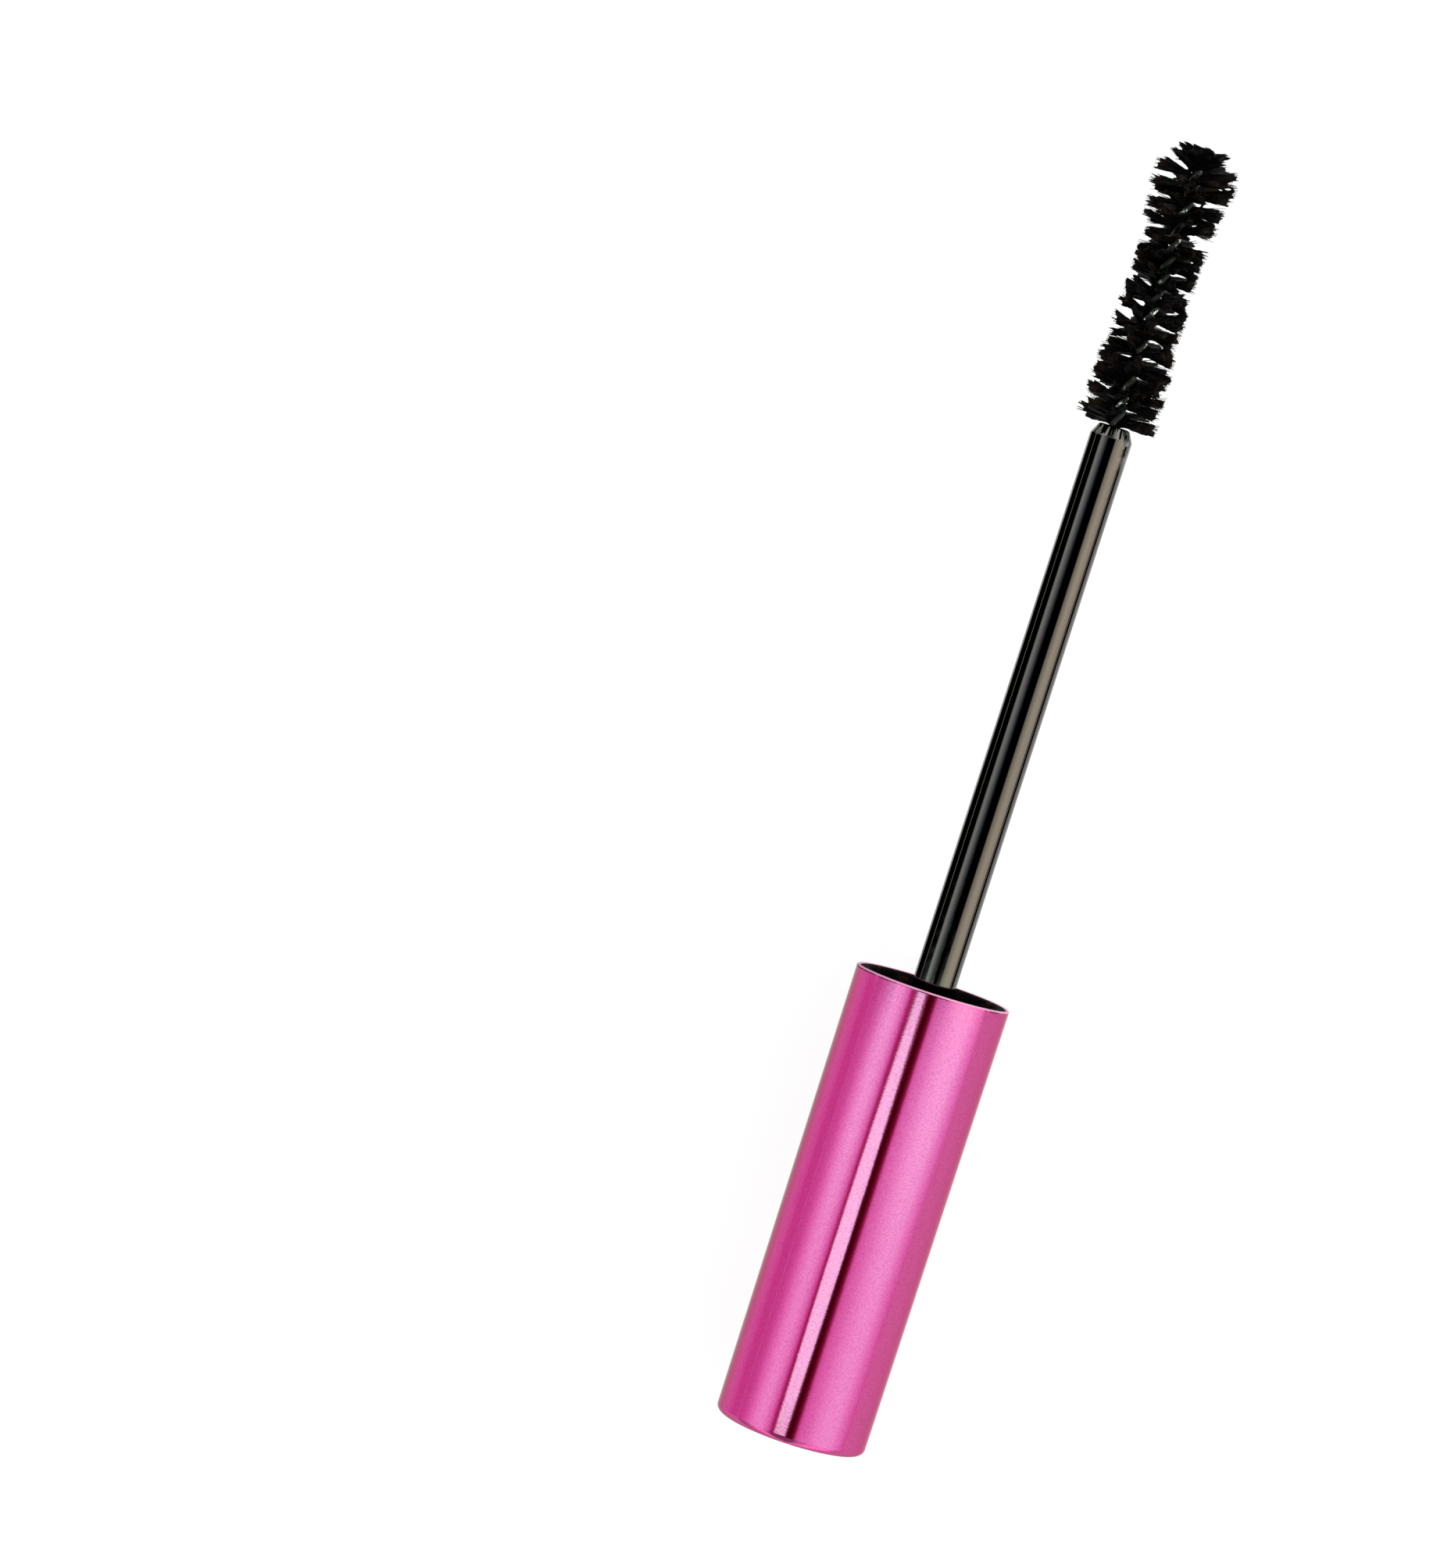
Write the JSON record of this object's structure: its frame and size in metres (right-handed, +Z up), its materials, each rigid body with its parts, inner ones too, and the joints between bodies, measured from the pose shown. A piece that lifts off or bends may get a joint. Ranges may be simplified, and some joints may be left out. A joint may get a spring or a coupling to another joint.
{
  "type": "mascara tube",
  "caption": "Cosmetic tube lying open: a metal cap with a slim stem and hourglass brush, drawn out in line with its threaded bottle and wiper.",
  "frame": {"origin": "on the surface that the open tube lies on, under the middle of its whole length", "axes": "+X along the common axis from the cap's closed end to the bottle's base, +Z up"},
  "size_m": [0.2654, 0.016, 0.016],
  "materials": {
    "pink_metal": "bright anodised magenta pink",
    "black_plastic": "black moulding",
    "seal_foam": "soft, matte, light grey",
    "stem_finish": "dark metallised gloss",
    "wire": "drawn wire, partly coated with paste",
    "bristle_nylon": "black nylon fibre with clumped paste",
    "vial_plastic": "glossy black",
    "wiper_plastic": "natural soft polyethylene, slightly milky",
    "mascara": "wet black paste",
    "label_paper": "blank satin paper label"
  },
  "bodies": {
    "bottle": {"bottle_shell": "pink_metal", "vial": "vial_plastic", "wiper": "wiper_plastic", "mascara_fill": "mascara", "base_label": "label_paper"},
    "seal": {"neck_seal": "seal_foam"},
    "wand": {"cap_shell": "pink_metal", "cap_liner": "black_plastic", "stem": "stem_finish", "brush_wire": "wire", "bristles": "bristle_nylon"}
  },
  "joints": [
    {"name": "wand_draw", "type": "slide", "parent": "bottle", "child": "seal", "axis": [1, 0, 0], "range_m": [0, 0.1258], "deforming": ["bristles"]},
    {"name": "cap_twist", "type": "hinge", "parent": "seal", "child": "wand", "pos_m": [-0.0853, 0, 0.008], "axis": [1, 0, 0], "range_deg": [0, 360]}
  ]
}
